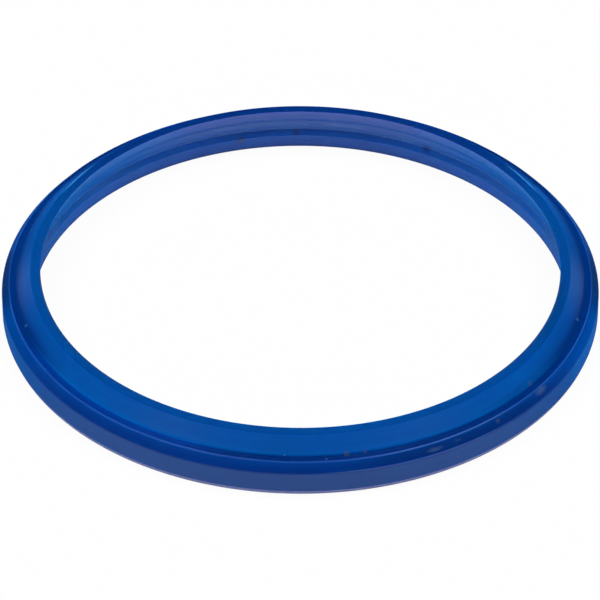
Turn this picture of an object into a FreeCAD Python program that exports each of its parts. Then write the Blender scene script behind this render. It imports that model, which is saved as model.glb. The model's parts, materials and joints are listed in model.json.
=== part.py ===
import os

import FreeCAD
import Part
import Sketcher

# Rod wiper seal: one moulded polyurethane ring that snaps into a groove in a cylinder head.
# Millimetres. The ring lies on its heel, Z runs along the rod and the wiping lip points up.

NODE = "wiper_seal"

# Driving dimensions: name, value, note
SIZES = [
    ("rod_diameter", 100.0, "rod that the lip wipes"),
    ("heel_clearance", 0.25, "radial gap between the rod and the heel land"),
    ("section_depth", 6.1, "radial, from the rod to the groove's floor"),
    ("lip_interference", 1.3, "radial, how far the free lip stands inside the rod's surface"),
    ("body_height", 6.6, "heel face to the ledge"),
    ("lip_height", 3.1, "ledge to the top of the lip"),
    ("lip_top_width", 1.8, "radial width of the lip's end face"),
    ("lip_top_drop", 0.05, "how much the end face falls towards the wiping edge"),
    ("ledge_width", 0.65, "radial width of the ledge between the shoulder and the lip's flank"),
    ("shoulder_depth", 1.5, "radial size of the chamfer above the outer wall"),
    ("shoulder_height", 1.75, "axial size of the same chamfer"),
    ("heel_lead_depth", 0.3, "radial size of the lead at the outer heel edge"),
    ("heel_lead_height", 0.8, "axial size of the same lead"),
    ("bore_lead_depth", 0.25, "radial size of the lead at the inner heel edge"),
    ("bore_lead_height", 1.05, "axial size of the same lead"),
    ("land_length", 1.7, "axial length of the land that faces the rod"),
    ("relief_depth", 0.7, "radial depth of the relief behind the lip"),
    ("relief_rise", 1.3, "axial rise from the land to the bottom of the relief"),
    ("foot_radius", 1.0, "fillet between the ledge and the flank"),
    ("relief_radius", 0.5, "fillet at the bottom of the relief"),
    ("bore_lead_radius", 2.5, "soft rounding between the land and its lead"),
    ("wall_radius", 0.6, "rounding between the outer wall and the shoulder"),
    ("ridge_radius", 0.2, "rounding between the shoulder and the ledge"),
    ("land_radius", 0.2, "rounding at the land's upper end"),
    ("lip_radius", 0.35, "rounding at the outer edge of the lip's end face"),
]

# Radii worked out from the driving dimensions
DERIVED = [
    ("bore_radius", "rod_diameter / 2 + heel_clearance", "heel land"),
    ("outer_radius", "rod_diameter / 2 + section_depth", "outer wall"),
    ("lip_edge_radius", "rod_diameter / 2 - lip_interference", "wiping edge, free"),
]

# Corners of the section in order round it, starting at the inner end of the heel face
CORNERS = ["heel_inner", "heel_outer", "wall_foot", "wall_top", "ridge", "flank_foot",
           "lip_outer", "lip_edge", "relief_root", "land_top", "land_foot"]

# Sizes of the section: from corner, to corner, direction, size name
SPANS = [
    (None, "land_foot", "X", "bore_radius"),
    ("land_foot", "heel_inner", "X", "bore_lead_depth"),
    ("heel_inner", "land_foot", "Y", "bore_lead_height"),
    (None, "wall_foot", "X", "outer_radius"),
    ("heel_outer", "wall_foot", "X", "heel_lead_depth"),
    ("heel_outer", "wall_foot", "Y", "heel_lead_height"),
    ("ridge", "wall_top", "X", "shoulder_depth"),
    ("wall_top", "ridge", "Y", "shoulder_height"),
    (None, "ridge", "Y", "body_height"),
    ("flank_foot", "lip_outer", "Y", "lip_height"),
    ("flank_foot", "ridge", "X", "ledge_width"),
    (None, "lip_edge", "X", "lip_edge_radius"),
    ("lip_edge", "lip_outer", "X", "lip_top_width"),
    ("lip_edge", "lip_outer", "Y", "lip_top_drop"),
    ("land_foot", "land_top", "Y", "land_length"),
    ("land_top", "relief_root", "Y", "relief_rise"),
    ("land_top", "relief_root", "X", "relief_depth"),
]

# Rounded corners, each with the size that sets its radius
ROUNDINGS = [
    ("flank_foot", "foot_radius"),
    ("relief_root", "relief_radius"),
    ("wall_top", "wall_radius"),
    ("ridge", "ridge_radius"),
    ("land_top", "land_radius"),
    ("land_foot", "bore_lead_radius"),
    ("lip_outer", "lip_radius"),
]


def make_sheet(doc):
    sheet = doc.addObject("Spreadsheet::Sheet", "Sizes")
    for row, (name, value, note) in enumerate(SIZES, start=1):
        sheet.set(f"A{row}", name)
        sheet.set(f"B{row}", str(value))
        sheet.setAlias(f"B{row}", name)
        sheet.set(f"C{row}", note)
    for row, (name, formula, note) in enumerate(DERIVED, start=len(SIZES) + 1):
        sheet.set(f"A{row}", name)
        sheet.set(f"B{row}", f"={formula}")
        sheet.setAlias(f"B{row}", name)
        sheet.set(f"C{row}", note)
    doc.recompute()
    return sheet


def origin_plane(body, role):
    return next(item for item in body.Origin.OriginFeatures if item.Role == role)


def corner_places(sheet):
    # Radius and height of every sharp corner, from the same sizes as the constraints
    size = {name: float(sheet.get(name)) for name in [row[0] for row in SIZES + DERIVED]}
    outer = size["outer_radius"]
    bore = size["bore_radius"]
    ridge = outer - size["shoulder_depth"]
    lip_edge = size["lip_edge_radius"]
    body_top = size["body_height"]
    lip_top = body_top + size["lip_height"]
    land_foot = size["bore_lead_height"]
    land_top = land_foot + size["land_length"]
    return {
        "heel_inner": (bore + size["bore_lead_depth"], 0.0),
        "heel_outer": (outer - size["heel_lead_depth"], 0.0),
        "wall_foot": (outer, size["heel_lead_height"]),
        "wall_top": (outer, body_top - size["shoulder_height"]),
        "ridge": (ridge, body_top),
        "flank_foot": (ridge - size["ledge_width"], body_top),
        "lip_outer": (lip_edge + size["lip_top_width"], lip_top),
        "lip_edge": (lip_edge, lip_top - size["lip_top_drop"]),
        "relief_root": (bore + size["relief_depth"], land_top + size["relief_rise"]),
        "land_top": (bore, land_top),
        "land_foot": (bore, land_foot),
    }


def make_section(body, sheet, places):
    sketch = body.newObject("Sketcher::SketchObject", "Section")
    sketch.AttachmentSupport = [(origin_plane(body, "XZ_Plane"), "")]
    sketch.MapMode = "FlatFace"
    points = [FreeCAD.Vector(*places[corner], 0) for corner in CORNERS]
    count = len(points)
    for index in range(count):
        sketch.addGeometry(Part.LineSegment(points[index], points[(index + 1) % count]), False)
    for index in range(count):
        sketch.addConstraint(Sketcher.Constraint("Coincident", index, 2, (index + 1) % count, 1))

    # Line n starts at corner n
    heel = CORNERS.index("heel_inner")
    ledge = CORNERS.index("ridge")
    wall = CORNERS.index("wall_foot")
    land = CORNERS.index("land_top")
    sketch.addConstraint(Sketcher.Constraint("Horizontal", heel))
    sketch.addConstraint(Sketcher.Constraint("Horizontal", ledge))
    sketch.addConstraint(Sketcher.Constraint("Vertical", wall))
    sketch.addConstraint(Sketcher.Constraint("Vertical", land))
    sketch.addConstraint(Sketcher.Constraint("PointOnObject", heel, 1, -1))

    for start, end, direction, size in SPANS:
        start_point = (-1, 1) if start is None else (CORNERS.index(start), 1)
        end_point = (CORNERS.index(end), 1)
        number = sketch.addConstraint(Sketcher.Constraint(
            f"Distance{direction}", *start_point, *end_point, float(sheet.get(size))))
        sketch.renameConstraint(number, size)
        sketch.setExpression(f"Constraints.{size}", f"{sheet.Name}.{size}")
    return sketch


def edge_name(shape, radius, height):
    # The circular edge that lies at this radius and height
    def distance(edge):
        centre = edge.Curve.Center
        return abs(edge.Curve.Radius - radius) + abs(centre.z - height)

    circles = [(distance(edge), index) for index, edge in enumerate(shape.Edges, start=1)
               if isinstance(edge.Curve, Part.Circle) and abs(edge.Curve.Axis.z) > 0.99]
    nearest, index = min(circles)
    if nearest > 0.01:
        raise RuntimeError(f"no edge at radius {radius} and height {height}")
    return f"Edge{index}"


def round_corner(doc, body, base, place, sheet, corner, size):
    fillet = body.newObject("PartDesign::Fillet", f"Round_{corner}")
    fillet.Base = (base, [edge_name(base.Shape, *place)])
    fillet.Radius = float(sheet.get(size))
    fillet.setExpression("Radius", f"{sheet.Name}.{size}")
    doc.recompute()
    return fillet


def make_ring(doc, sheet):
    body = doc.addObject("PartDesign::Body", NODE)
    body.Label = NODE
    places = corner_places(sheet)
    section = make_section(body, sheet, places)
    doc.recompute()

    ring = body.newObject("PartDesign::Revolution", "Ring")
    ring.Profile = section
    ring.ReferenceAxis = (section, ["V_Axis"])
    ring.Angle = 360.0
    section.Visibility = False
    doc.recompute()

    feature = ring
    for corner, size in ROUNDINGS:
        feature = round_corner(doc, body, feature, places[corner], sheet, corner, size)
    body.Placement = FreeCAD.Placement()
    doc.recompute()
    return body


def check_document(doc):
    for item in doc.Objects:
        if "Invalid" in item.State or "Error" in item.State:
            raise RuntimeError(f"{item.Label} did not recompute: {item.State}")


def export_node(body):
    shape = body.Shape
    if shape.isNull() or not shape.isValid() or len(shape.Solids) != 1:
        raise RuntimeError(f"{body.Label} is not one sound solid")
    os.makedirs("parts", exist_ok=True)
    shape.exportStep(f"parts/{body.Label}.step")
    print(f"{body.Label}: {shape.Volume:.1f} mm3")


document = FreeCAD.newDocument("WiperSeal")
sizes = make_sheet(document)
seal = make_ring(document, sizes)
check_document(document)
export_node(seal)
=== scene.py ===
import json
import math

import bmesh
import bpy
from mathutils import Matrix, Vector


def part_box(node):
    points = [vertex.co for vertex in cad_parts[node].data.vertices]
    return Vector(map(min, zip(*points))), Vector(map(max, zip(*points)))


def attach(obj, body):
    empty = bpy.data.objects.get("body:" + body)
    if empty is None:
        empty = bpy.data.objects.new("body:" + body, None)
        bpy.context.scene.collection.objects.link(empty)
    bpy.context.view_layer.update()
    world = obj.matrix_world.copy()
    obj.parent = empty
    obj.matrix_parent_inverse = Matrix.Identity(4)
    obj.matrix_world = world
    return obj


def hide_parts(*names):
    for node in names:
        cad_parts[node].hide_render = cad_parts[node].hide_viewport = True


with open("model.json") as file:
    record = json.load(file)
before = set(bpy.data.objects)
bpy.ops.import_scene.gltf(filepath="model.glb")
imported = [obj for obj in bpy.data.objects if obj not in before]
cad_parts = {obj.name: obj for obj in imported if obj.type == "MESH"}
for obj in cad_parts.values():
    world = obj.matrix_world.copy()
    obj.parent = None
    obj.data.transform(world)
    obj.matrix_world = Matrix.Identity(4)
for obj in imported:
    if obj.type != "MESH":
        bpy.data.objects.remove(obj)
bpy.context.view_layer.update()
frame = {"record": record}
mm = 0.001
print("frame loaded")


# Nodes

class Signal:
    # A socket in a material. Sums on it add Math nodes. Without a socket it only makes nodes.
    def __init__(self, tree, socket=None):
        self.tree = tree
        self.socket = socket

    def node(self, kind, settings, values, output=0):
        # a new node: its settings come first, then the values or links of its sockets
        made = self.tree.nodes.new("ShaderNode" + kind)
        for name, value in settings.items():
            if name == "stops":
                stops = made.color_ramp.elements
                for index, (place, colour) in enumerate(value):
                    stop = stops[index] if index < len(stops) else stops.new(place)
                    stop.position = place
                    stop.color = colour
            else:
                setattr(made, name, value)
        for name, value in values.items():
            if isinstance(value, Signal):
                self.tree.links.new(value.socket, made.inputs[name])
            else:
                made.inputs[name].default_value = value
        return Signal(self.tree, made.outputs[output])

    def finish(self, kind="OutputMaterial"):
        # this shader becomes the surface of its material, or the world
        output = self.tree.nodes.new("ShaderNode" + kind)
        self.tree.links.new(self.socket, output.inputs["Surface"])

    def math(self, operation, *values):
        return self.node("Math", {"operation": operation}, dict(enumerate(values)))

    def __add__(self, other):
        return self.math("ADD", self, other)

    def __radd__(self, other):
        return self.math("ADD", other, self)

    def __sub__(self, other):
        return self.math("SUBTRACT", self, other)

    def __rsub__(self, other):
        return self.math("SUBTRACT", other, self)

    def __mul__(self, other):
        return self.math("MULTIPLY", self, other)

    def __rmul__(self, other):
        return self.math("MULTIPLY", other, self)

    def __truediv__(self, other):
        return self.math("DIVIDE", self, other)

    def __rtruediv__(self, other):
        return self.math("DIVIDE", other, self)

    def __pow__(self, other):
        return self.math("POWER", self, other)

    def __rpow__(self, other):
        return self.math("POWER", other, self)

    def axis(self, name):
        return self.node("SeparateXYZ", {}, {"Vector": self}, name)

    def ramp(self, low, high):
        # 0 up to low, 1 from high on, smooth between them
        return self.node("MapRange", {"interpolation_type": "SMOOTHSTEP"},
                         {"Value": self, "From Min": low, "From Max": high})

    def within(self, start, full, last=None, end=None):
        # rises to 1 from start to full and, where they are given, falls back to 0 from last to end
        if last is None:
            return self.ramp(start, full)
        return self.ramp(start, full) * self.ramp(end, last)

    def noise(self, width, detail):
        # noise around 0 with lumps this wide, read at this vector
        return self.node("TexNoise", {}, {"Vector": self, "Scale": 1 / width, "Detail": detail}) - 0.5

    def bands(self, top, stops):
        # colour that changes as this value goes from 0 to top
        return self.node("ValToRGB", {"stops": [(at / top, colour) for at, colour in stops]},
                         {"Fac": self / top})

    def scaled(self, factor):
        return self.node("VectorMath", {"operation": "SCALE"}, {"Vector": self, "Scale": factor})

    def blend(self, first, second):
        # colour that goes from first to second as this value goes from 0 to 1
        return self.node("Mix", {"data_type": "RGBA"}, {0: self, 6: first, 7: second}, 2)


def newNodes(owner):
    # an empty node tree for a material or the world
    owner.use_nodes = True
    owner.node_tree.nodes.clear()
    return Signal(owner.node_tree)


# Ring

mounts = {mount["name"]: mount["dims"] for mount in frame["record"]["mounts"]}

ringShape = {
    "steps": 512,                                       # straight steps round the ring
    "boreRadius": mounts["heel_bore"]["r_mm"],          # heel land, mm from here on
    "outerRadius": mounts["outer_wall"]["r_mm"],
    "height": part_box("wiper_seal")[1].z / mm,
    "lipHeight": 3.1,
    "lipEdgeInset": 1.55,                               # wiping edge inside the heel land
    "lipTopWidth": 1.8,
    "lipTopDrop": 0.05,
    "ledgeWidth": 0.65,
    "shoulderDepth": 1.5,
    "shoulderHeight": 1.75,
    "heelLeadDepth": 0.3,
    "heelLeadHeight": 0.8,
    "boreLeadDepth": 0.25,
    "boreLeadHeight": 1.05,
    "landLength": 1.7,
    "reliefDepth": 0.7,
    "reliefRise": 1.3,
    "touching": 0.001,                                  # points nearer than this are the same
}

ringRoundings = {                                       # corner: radius in mm, segments
    "flankFoot": (1.0, 6),
    "reliefRoot": (0.5, 6),
    "wallTop": (0.6, 6),
    "ridge": (0.2, 4),
    "landTop": (0.2, 4),
    "lipOuter": (0.3, 4),
    "wallFoot": (0.5, 4),
    "heelOuter": (0.15, 3),
    "heelInner": (0.15, 3),
    "landFoot": (2.5, 6),
    "lipEdge": (0.06, 3),
}


def ringCorners(size):
    # radius and height of the corners of the section, in order round it
    outer = size["outerRadius"]
    bore = size["boreRadius"]
    lipEdge = bore - size["lipEdgeInset"]
    ridge = outer - size["shoulderDepth"]
    bodyTop = size["height"] - size["lipHeight"]
    landTop = size["boreLeadHeight"] + size["landLength"]
    return {
        "heelInner": (bore + size["boreLeadDepth"], 0.0),
        "heelOuter": (outer - size["heelLeadDepth"], 0.0),
        "wallFoot": (outer, size["heelLeadHeight"]),
        "wallTop": (outer, bodyTop - size["shoulderHeight"]),
        "ridge": (ridge, bodyTop),
        "flankFoot": (ridge - size["ledgeWidth"], bodyTop),
        "lipOuter": (lipEdge + size["lipTopWidth"], size["height"]),
        "lipEdge": (lipEdge, size["height"] - size["lipTopDrop"]),
        "reliefRoot": (bore + size["reliefDepth"], landTop + size["reliefRise"]),
        "landTop": (bore, landTop),
        "landFoot": (bore, size["boreLeadHeight"]),
    }


def selectLoop(mesh, radius, height, near):
    # selects the edges that run round the ring at this radius and height
    bpy.ops.mesh.select_all(action="DESELECT")
    edit = bmesh.from_edit_mesh(mesh)
    for edge in edit.edges:
        edge.select = all(abs(math.hypot(v.co.x, v.co.y) - radius) < near
                          and abs(v.co.z - height) < near for v in edge.verts)
    edit.select_flush_mode()
    bmesh.update_edit_mesh(mesh)


def makeRing(size, roundings):
    corners = ringCorners(size)
    names = list(corners)
    near = size["touching"] * mm
    bpy.ops.object.select_all(action="DESELECT")

    # a circle at the heel is pulled from corner to corner round the section
    radius, height = corners[names[0]]
    bpy.ops.mesh.primitive_circle_add(vertices=size["steps"], radius=radius * mm,
                                      location=(0, 0, height * mm))
    ring = bpy.context.object
    ring.name = "wiperRing"
    bpy.ops.object.mode_set(mode="EDIT")
    bpy.ops.mesh.select_mode(type="EDGE")
    bpy.ops.mesh.select_all(action="SELECT")
    for name in names[1:] + names[:1]:
        nextRadius, nextHeight = corners[name]
        bpy.ops.mesh.extrude_edges_move()
        bpy.ops.transform.translate(value=(0, 0, (nextHeight - height) * mm))
        scale = nextRadius / radius
        bpy.ops.transform.resize(value=(scale, scale, 1), center_override=(0, 0, 0))
        radius, height = nextRadius, nextHeight
    bpy.ops.mesh.select_all(action="SELECT")
    bpy.ops.mesh.remove_doubles(threshold=near)
    bpy.ops.mesh.normals_make_consistent(inside=False)

    # each corner is rounded by a bevel as long as the tangent of its radius
    for name, (rounding, segments) in roundings.items():
        index = names.index(name)
        here, before, after = (Vector(corners[names[place % len(names)]])
                               for place in (index, index - 1, index + 1))
        opening = (before - here).angle(after - here)
        selectLoop(ring.data, here.x * mm, here.y * mm, near)
        bpy.ops.mesh.bevel(offset=rounding / math.tan(opening / 2) * mm, segments=segments,
                           profile=0.5, affect="EDGES", clamp_overlap=False)
    bpy.ops.mesh.select_all(action="SELECT")
    bpy.ops.mesh.normals_make_consistent(inside=False)
    bpy.ops.object.mode_set(mode="OBJECT")
    bpy.ops.object.transform_apply(location=True, rotation=True, scale=True)
    bpy.ops.object.shade_smooth()

    # large faces keep their own normals, so that only the roundings look round
    bpy.ops.object.modifier_add(type="WEIGHTED_NORMAL")
    weighted = ring.modifiers[-1]
    weighted.weight = 100
    bpy.ops.object.modifier_apply(modifier=weighted.name)
    return ring


# Polyurethane

polyurethane = {
    # height in mm and colour, for each side of the section and each part of the ring. These are lit and
    # shaded copies of one blue, so they hold painted light and shade.
    "outerFront": [
        # the heel lead: a painted reflection of the white table
        (0.0, (0.21, 0.25, 0.58, 1)),
        (0.8, (0.21, 0.25, 0.58, 1)),
        (0.92, (0.004, 0.077, 0.350, 1)),
        (4.4, (0.004, 0.079, 0.355, 1)),
        (4.9, (0.0002, 0.040, 0.27, 1)),
        (5.6, (0.0002, 0.044, 0.28, 1)),
        (6.3, (0.0002, 0.060, 0.33, 1)),
        # the ridge: a painted highlight
        (6.42, (0.012, 0.100, 0.43, 1)),
        (6.51, (0.012, 0.100, 0.43, 1)),
        # the groove over the ledge: painted shade
        (6.58, (0.0002, 0.024, 0.17, 1)),
        (6.85, (0.0002, 0.032, 0.22, 1)),
        (7.15, (0.0002, 0.106, 0.43, 1)),
        (7.7, (0.0002, 0.096, 0.42, 1)),
        (9.4, (0.0002, 0.093, 0.42, 1)),
    ],
    "outerSide": [
        (0.0, (0.003, 0.086, 0.40, 1)),
        (4.4, (0.003, 0.086, 0.40, 1)),
        (4.9, (0.0002, 0.050, 0.27, 1)),
        (6.3, (0.0002, 0.050, 0.27, 1)),
        # the ridge: a painted highlight
        (6.42, (0.008, 0.090, 0.44, 1)),
        (6.51, (0.008, 0.090, 0.44, 1)),
        # the groove over the ledge: painted shade
        (6.58, (0.0002, 0.026, 0.18, 1)),
        (7.3, (0.0002, 0.028, 0.19, 1)),
        (8.1, (0.0002, 0.060, 0.31, 1)),
        (9.4, (0.0002, 0.076, 0.37, 1)),
    ],
    # the outer side at the back, darker: painted shade
    "outerBack": [
        (0.0, (0.0002, 0.030, 0.20, 1)),
        (9.4, (0.0002, 0.042, 0.28, 1)),
    ],
    # the red in the inner colours is a painted reflection of the table, and their bands hold painted light
    # and shade
    "innerSide": [
        (0.0, (0.002, 0.120, 0.56, 1)),
        (2.6, (0.002, 0.122, 0.56, 1)),
        (2.9, (0.006, 0.140, 0.54, 1)),
        (3.7, (0.006, 0.135, 0.54, 1)),
        (4.1, (0.010, 0.160, 0.62, 1)),
        (4.6, (0.010, 0.131, 0.56, 1)),
        (6.8, (0.008, 0.132, 0.55, 1)),
        (9.5, (0.028, 0.166, 0.60, 1)),
    ],
    "innerBack": [
        (0.0, (0.002, 0.102, 0.50, 1)),
        (2.7, (0.002, 0.118, 0.56, 1)),
        (3.0, (0.022, 0.155, 0.60, 1)),
        (4.0, (0.022, 0.145, 0.59, 1)),
        (4.4, (0.044, 0.140, 0.49, 1)),
        (6.8, (0.045, 0.125, 0.46, 1)),
        (9.5, (0.070, 0.135, 0.52, 1)),
    ],
    # the end face, lighter at the front than at the back: painted light and shade
    "endFront": (0.0002, 0.062, 0.285, 1),
    "endBack": (0.0002, 0.028, 0.19, 1),

    # Where each colour takes over. A place is limits on one or more measures, as start and full,
    # or as start, full, last full and end. In mm are height, below the top, inwards of the middle
    # of the section, and outwards of the wiping edge. Shares of the radius are aside, which is to
    # the left or the right, behind, and right.
    "inner": {"inwards": (-0.1, 0.1)},
    "end": {"below": (0.15, 0.07)},
    "front": {"behind": (0.0, -0.2)},
    "outerAside": {"aside": (0.78, 0.95)},
    "outerBehind": {"behind": (0.0, 0.3)},
    "outerAtBack": {"behind": (0.46, 0.62)},
    "innerAtSide": {"aside": (0.3, 0.75)},
    "endAtBack": {"behind": (0.3, 0.8)},

    # the lip's outer corner, the part of it where a highlight is painted, and the colour of that painted
    # highlight
    "lipCorner": {"below": (0.2, 0.12), "outwards": (1.45, 1.55)},
    "palePart": {"behind": (0.42, 0.5, 0.55, 0.64)},
    "paleEdge": (0.02, 0.17, 0.52, 1),

    # faces, a place on them, and how much brighter they are painted there: painted light above 0, painted
    # shade below 0
    "gains": [
        # painted shade on the body at the far left and right
        ("", {"aside": (0.975, 1.0), "height": (6.6, 6.4)}, -0.5),
        # painted shade on the outer side at the back left and right, and on the lip's flank between there
        # and the sides
        ("outer", {"behind": (0.44, 0.6), "aside": (0.4, 0.7)}, -0.4),
        ("outer", {"behind": (-0.1, 0.05, 0.3, 0.45), "height": (7.0, 7.3)}, -0.15),
        # painted shade on the inner side at the far left and right, and on the end face at the front right
        ("inner", {"aside": (0.9, 0.98)}, -0.18),
        ("end front", {"right": (0.82, 0.92)}, -0.15),
        # painted light on the groove over the ledge at the left, and on the shoulder at both sides
        ("outer front", {"right": (-0.95, -0.87, -0.45, -0.2), "height": (6.52, 6.58, 6.9, 7.3)}, 0.5),
        ("outer front", {"aside": (0.82, 0.92), "height": (4.8, 5.1, 6.35, 6.5)}, 0.12),
        # painted light on the wall at the right, and painted shade on the shoulder and the flank there
        ("outer front", {"right": (0.86, 0.93), "height": (6.6, 5.0)}, 0.25),
        ("outer front", {"right": (0.1, 0.35, 0.72, 0.85), "height": (4.9, 5.2, 6.2, 6.4)}, -0.25),
        ("outer front", {"right": (0.6, 0.75, 0.88, 0.95), "height": (6.9, 7.1, 7.4, 8.2)}, -0.2),
    ],

    # faces, a place on them, the colour of a thin line there, and its strength. Painted highlights on the
    # top of the wall and the ridge at the right, where they catch the light, and painted shade on the wiping
    # edge at the sides.
    "lines": [
        ("outer front", {"right": (0.05, 0.2, 0.5, 0.7), "height": (4.74, 4.82, 4.92, 5.0)}, "pale", 0.55),
        ("outer front", {"right": (0.15, 0.35, 0.6, 0.75), "height": (6.38, 6.44, 6.52, 6.57)}, "pale", 0.6),
        ("end front", {"aside": (0.4, 0.8), "outwards": (0.45, 0.25)}, "dark", 0.6),
    ],
    # colours of the painted highlight lines and the painted shade line
    "lineColours": {
        "pale": (0.075, 0.17, 0.52, 1),
        "dark": (0.02, 0.06, 0.16, 1),
    },

    # small specks: degrees round the ring, radius, height and size in mm, colour, strength
    "specks": [
        (279.0, 53.44, 7.04, 0.5, "brown", 0.75),
        (282.6, 53.45, 7.0, 0.42, "brown", 0.55),
        (103.5, 50.25, 2.5, 0.85, "brown", 0.6),
        (91.0, 50.6, 3.3, 0.7, "brown", 0.6),
        (310.5, 55.2, 5.9, 0.45, "brown", 0.5),
        (322.0, 53.29, 7.18, 0.5, "brown", 0.3),
        (267.0, 53.44, 7.04, 0.2, "pale", 0.6),
        (275.0, 54.16, 6.66, 0.2, "pale", 0.6),
        (197.5, 53.29, 7.18, 0.36, "pale", 0.3),
        (164.0, 50.8, 3.81, 0.24, "pale", 0.6),
        (345.0, 53.29, 7.18, 0.36, "pale", 0.4),
        (88.5, 50.68, 4.74, 0.26, "pale", 0.5),
        (89.0, 50.6, 5.0, 0.24, "pale", 0.5),
        (71.5, 50.24, 5.84, 0.2, "pale", 0.6),
        (61.0, 50.87, 3.94, 0.8, "dark", 0.5),
    ],
    "speckColours": {
        "brown": (0.055, 0.085, 0.17, 1),
        "pale": (0.07, 0.20, 0.50, 1),
        "dark": (0.004, 0.02, 0.08, 1),
    },
    "speckEnds": (1.5, 0.2),            # a speck starts and is full this far out, over its size

    # rubbed patches: degrees round the ring, height, half length and half width in mm, strength
    "rubs": [
        (296.0, 5.56, 2.0, 0.36, 0.6),
        (301.0, 5.75, 0.9, 0.25, 0.25),
        (322.9, 5.95, 1.9, 0.6, 0.65),
    ],
    "rubbed": (0.06, 0.12, 0.28, 1),
    "scuffs": [                         # the same for the scuffs, on the inner side
        (81.6, 5.6, 3.0, 0.7, 0.7),
        (77.2, 5.35, 1.8, 0.5, 0.7),
    ],
    "scuffed": (0.15, 0.23, 0.55, 1),
    "patchEnds": (1.2, 0.1),            # a patch starts and is full this far out, over its size
    "patchGrain": 0.7,                  # how ragged its outline is
    "gritEnds": (-0.1, 0.15),           # where a scuff's grit, from -0.5 to 0.5, starts and is full

    "cloudSize": 9.0,                   # mm
    "cloudDepth": 0.16,
    "flowWidth": 0.6,                   # mm
    "flowDepth": 0.22,
    "flowTurn": 2.0,                    # how fast the flow marks change round the ring
    "grainSize": 0.5,                   # mm, here and below
    "gritSize": 0.13,
    "waveSize": 3.0,
    "waveDepth": 0.08,
    "roughness": 0.2,
    "coat": 0.08,
    "coatIor": 4.0,
    "scatterDepth": 0.001,              # metres
    "scatterColour": (0.4, 0.7, 1.0),

    # places with hardly any gloss: the groove over the ledge, and the shoulder at the sides
    "mattPlaces": [
        ("", {"height": (6.5, 6.62, 7.1, 7.4)}),
        ("outer front", {"aside": (0.82, 0.92), "height": (4.8, 5.1, 6.35, 6.5)}),
    ],
    "matt": 0.97,                       # how much of the gloss is gone there and at the corner
}


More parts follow.
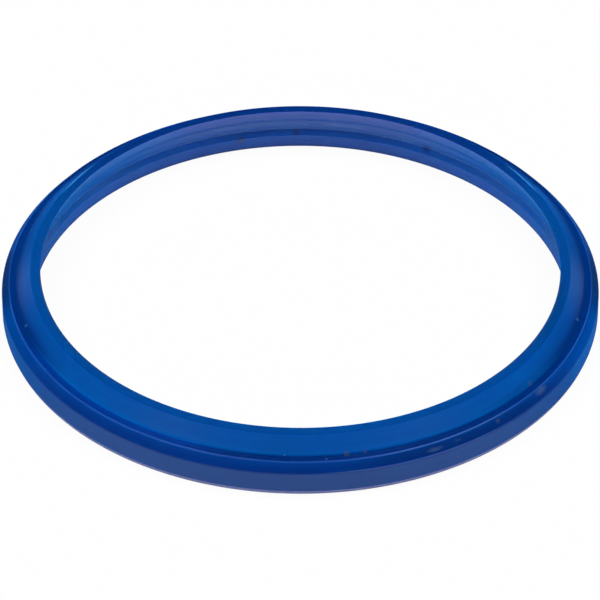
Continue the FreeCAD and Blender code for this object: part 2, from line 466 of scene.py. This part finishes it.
def makePolyurethane(look, size):
    material = bpy.data.materials.new("polyurethane")
    make = newNodes(material)
    corners = ringCorners(size)
    spot = make.node("TexCoord", {}, {}, "Object")
    x = spot.axis("X")
    y = spot.axis("Y")
    radius = (x * x + y * y) ** 0.5 / mm
    height = spot.axis("Z") / mm
    around = make.math("ARCTAN2", y, x)

    # the middle of the section at each height parts the inner side from the outer side
    lipMiddle = (corners["lipOuter"][0] + corners["lipEdge"][0]) / 2
    footMiddle = (corners["flankFoot"][0] + corners["reliefRoot"][0]) / 2
    slant = (footMiddle - lipMiddle) / size["lipHeight"]
    below = size["height"] - height
    middle = make.math("MINIMUM", below * slant + lipMiddle, footMiddle)

    measures = {
        "height": height,
        "below": below,
        "inwards": middle - radius,
        "outwards": radius - corners["lipEdge"][0],
        "aside": make.math("ABSOLUTE", x) / mm / radius,
        "behind": y / mm / radius,
        "right": x / mm / radius,
    }

    def cover(limits, *others):
        # 1 inside these limits and 0 outside them, times any other such values
        return math.prod([*others, *(measures[name].within(*ends) for name, ends in limits.items())])

    inner = cover(look["inner"])
    end = cover(look["end"])
    lipCorner = cover(look["lipCorner"])
    faces = {
        "inner": inner * (1.0 - end),
        "outer": (1.0 - inner) * (1.0 - end),
        "end": end,
        "front": cover(look["front"]),
    }

    def coverOn(names, limits):
        # the same, on the faces with these names
        return cover(limits, *(faces[name] for name in names.split()))

    def paint(name):
        return height.bands(size["height"], look[name])

    # the blue of each side of the section and each part of the ring, with the painted light and shade in its
    # bands
    beside = make.math("MAXIMUM", cover(look["outerAside"]), cover(look["outerBehind"]))
    outerBlue = beside.blend(paint("outerFront"), paint("outerSide"))
    outerBlue = cover(look["outerAtBack"]).blend(outerBlue, paint("outerBack"))
    innerBlue = cover(look["innerAtSide"]).blend(paint("innerBack"), paint("innerSide"))
    endBlue = cover(look["endAtBack"]).blend(look["endFront"], look["endBack"])
    blue = end.blend(inner.blend(outerBlue, innerBlue), endBlue)
    # a painted highlight on the lip's outer corner, at the back left and right
    blue = cover(look["palePart"], lipCorner).blend(blue, look["paleEdge"])

    # soft clouds, and fine flow marks that run round the ring
    cloud = spot.noise(look["cloudSize"] * mm, detail=3)
    rings = make.node("CombineXYZ", {}, {"X": radius, "Y": height, "Z": around * look["flowTurn"]})
    flow = rings.noise(look["flowWidth"], detail=2)
    blue = blue.scaled(cloud * look["cloudDepth"] + flow * look["flowDepth"] + 1.0)

    # painted shade and painted light in places, and thin lines of painted highlight and painted shade
    blue = blue.scaled(math.prod(coverOn(names, limits) * gain + 1.0
                                 for names, limits, gain in look["gains"]))
    for names, limits, colour, strength in look["lines"]:
        blue = (coverOn(names, limits) * strength).blend(blue, look["lineColours"][colour])

    # small specks and rubbed patches, ragged by a fine grain, and scuffs broken up by a finer one
    grain = spot.noise(look["grainSize"] * mm, detail=2)
    grit = spot.noise(look["gritSize"] * mm, detail=2)

    def speck(angle, far, up, width):
        turn = math.radians(angle)
        centre = (far * math.cos(turn) * mm, far * math.sin(turn) * mm, up * mm)
        gap = make.node("VectorMath", {"operation": "DISTANCE"}, {0: spot, 1: centre}, "Value") / mm
        start, full = look["speckEnds"]
        return (gap + grain * width).ramp(width * start, width * full)

    def patch(angle, up, length, width, strength):
        turn = math.radians((angle + 180) % 360 - 180)
        along = (around - turn) * radius / length
        across = (height - up) / width
        gap = (along * along + across * across) ** 0.5
        return (gap + grain * look["patchGrain"]).ramp(*look["patchEnds"]) * strength

    for *place, colour, strength in look["specks"]:
        blue = (speck(*place) * strength).blend(blue, look["speckColours"][colour])
    for place in look["rubs"]:
        blue = (patch(*place) * (1.0 - inner)).blend(blue, look["rubbed"])
    for place in look["scuffs"]:
        blue = (patch(*place) * grit.ramp(*look["gritEnds"]) * inner).blend(blue, look["scuffed"])

    # slightly wavy skin, with less gloss in some places
    wave = spot.noise(look["waveSize"] * mm, detail=1)
    skin = make.node("Bump", {}, {"Strength": 1.0, "Distance": look["waveDepth"] * mm, "Height": wave})
    matt = lipCorner
    for names, limits in look["mattPlaces"]:
        matt = make.math("MAXIMUM", matt, coverOn(names, limits))

    surface = make.node("BsdfPrincipled", {"subsurface_method": "RANDOM_WALK"}, {
        "Base Color": blue,
        "Roughness": look["roughness"],
        "Specular IOR Level": 0.0,
        "Coat Weight": (1.0 - matt * look["matt"]) * look["coat"],
        "Coat IOR": look["coatIor"],
        "Coat Roughness": look["roughness"],
        "Subsurface Weight": 1.0,
        "Subsurface Radius": look["scatterColour"],
        "Subsurface Scale": look["scatterDepth"],
        "Normal": skin,
    })
    surface.finish()
    return material


ring = makeRing(ringShape, ringRoundings)
ring.data.materials.append(makePolyurethane(polyurethane, ringShape))
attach(ring, "root")
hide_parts("wiper_seal")
print("ring made:", len(ring.data.polygons), "faces")


# Table

table = {
    "radius": 1.5,
    "steps": 96,
    "gap": 0.00004,          # under the heel
    "colour": (0.85, 0.85, 0.85, 1),
    "whiteSeen": 0.95,       # how much of the table the eye sees as plain white
    "whiteMirrored": 0.75,   # the same in mirror images
    "bright": 0.056,         # within this radius its mirror image is bright
    "dim": 0.12,             # beyond this one it is dark
    "rim": 0.3,              # brightness just outside the ring, at its sides and back
    "rimFront": 1.0,         # the same in front
    "rimStart": 0.052,       # where that begins
    "rimFull": 0.058,        # and is full
    "frontEnds": (-0.3, -0.8),    # where the front begins and is full, y over the radius
}


def makeTable(size):
    bpy.ops.object.select_all(action="DESELECT")
    bpy.ops.mesh.primitive_circle_add(vertices=size["steps"], radius=size["radius"],
                                      fill_type="NGON", location=(0, 0, -size["gap"]))
    floor = bpy.context.object
    floor.name = "table"

    # seen and mirrored as white, and lit as a pale matt board, which keeps the ring's shadow
    material = bpy.data.materials.new("tableWhite")
    make = newNodes(material)
    spot = make.node("TexCoord", {}, {}, "Object")
    x = spot.axis("X")
    y = spot.axis("Y")
    radius = (x * x + y * y) ** 0.5
    seen = make.node("LightPath", {}, {}, "Is Camera Ray")
    mirrored = make.node("LightPath", {}, {}, "Is Glossy Ray")
    through = make.node("LightPath", {}, {}, "Is Transmission Ray")
    white = (seen + through) * size["whiteSeen"] + mirrored * size["whiteMirrored"]
    matt = make.node("BsdfDiffuse", {}, {"Color": size["colour"]})
    glow = make.node("Emission", {}, {"Color": (1, 1, 1, 1), "Strength": 1.0})
    lit = make.node("MixShader", {}, {0: make.math("MINIMUM", white, 1.0), 1: matt, 2: glow})

    # mirror images of the table fade away from the ring, soonest at its sides
    front = (y / radius).ramp(*size["frontEnds"])
    rim = front * (size["rimFront"] - size["rim"]) + size["rim"]
    fade = radius.ramp(size["bright"], size["dim"])
    outside = radius.ramp(size["rimStart"], size["rimFull"])
    level = (outside * (rim - 1.0) + 1.0) * (1.0 - fade)
    dark = make.node("Emission", {}, {"Color": (0, 0, 0, 1), "Strength": 0.0})
    make.node("MixShader", {}, {0: mirrored * (1.0 - level), 1: lit, 2: dark}).finish()
    floor.data.materials.append(material)


makeTable(table)
print("table made")


# Light

lamps = {                    # elevation in degrees, side of the ring, radiance
    "leftLamp": (69.0, -1, 5.8),
    "rightLamp": (71.0, 1, 5.8),
}
lampShape = {
    "size": (0.65, 0.62),
    "distance": 1.1,
}
studio = {
    "horizon": 1.0,          # grey level near the horizon
    "above": 0.03,           # grey level overhead
    "low": 0.07,             # sines of the elevations between which one turns into the other
    "high": 0.22,
}


def makeLamp(name, elevation, side, brightness, size):
    width, length = size["size"]
    lift = math.radians(elevation)
    toLamp = Vector((side * math.cos(lift), 0, math.sin(lift)))
    bpy.ops.object.light_add(type="AREA", location=toLamp * size["distance"])
    lamp = bpy.context.object
    lamp.name = name
    lamp.rotation_euler = toLamp.to_track_quat("Z", "Y").to_euler()
    lamp.data.shape = "RECTANGLE"
    lamp.data.size = width
    lamp.data.size_y = length
    lamp.data.energy = brightness * math.pi * width * length


def makeStudio(size):
    world = bpy.data.worlds.new("studio")
    bpy.context.scene.world = world
    make = newNodes(world)
    up = make.node("TexCoord", {}, {}, "Generated").axis("Z")
    grey = up.ramp(size["low"], size["high"]) * (size["above"] - size["horizon"]) + size["horizon"]
    make.node("Background", {}, {"Color": (1, 1, 1, 1), "Strength": grey}).finish("OutputWorld")


for name, (elevation, side, brightness) in lamps.items():
    makeLamp(name, elevation, side, brightness, lampShape)
makeStudio(studio)
print("lamps made")


# Camera

camera = {
    "elevation": 37.81,      # degrees above the table
    "distance": 0.9573,
    "aim": (0.0, 0.000105, 0.000816),
    "lens": 304.5,           # mm
    "sensor": 36.0,          # mm
    "roll": 0.115,           # degrees
    "shiftX": -0.0005,
    "nearest": 0.01,
}


def makeCamera(size):
    lift = math.radians(size["elevation"])
    back = Vector((0, -math.cos(lift), math.sin(lift)))
    bpy.ops.object.camera_add(location=Vector(size["aim"]) + back * size["distance"])
    eye = bpy.context.object
    eye.rotation_euler = back.to_track_quat("Z", "Y").to_euler()
    eye.rotation_euler.rotate_axis("Z", math.radians(size["roll"]))
    eye.data.sensor_width = size["sensor"]
    eye.data.lens = size["lens"]
    eye.data.shift_x = size["shiftX"]
    eye.data.clip_start = size["nearest"]
    bpy.context.scene.camera = eye


makeCamera(camera)
bpy.context.scene.view_settings.view_transform = "Standard"
print("camera made")
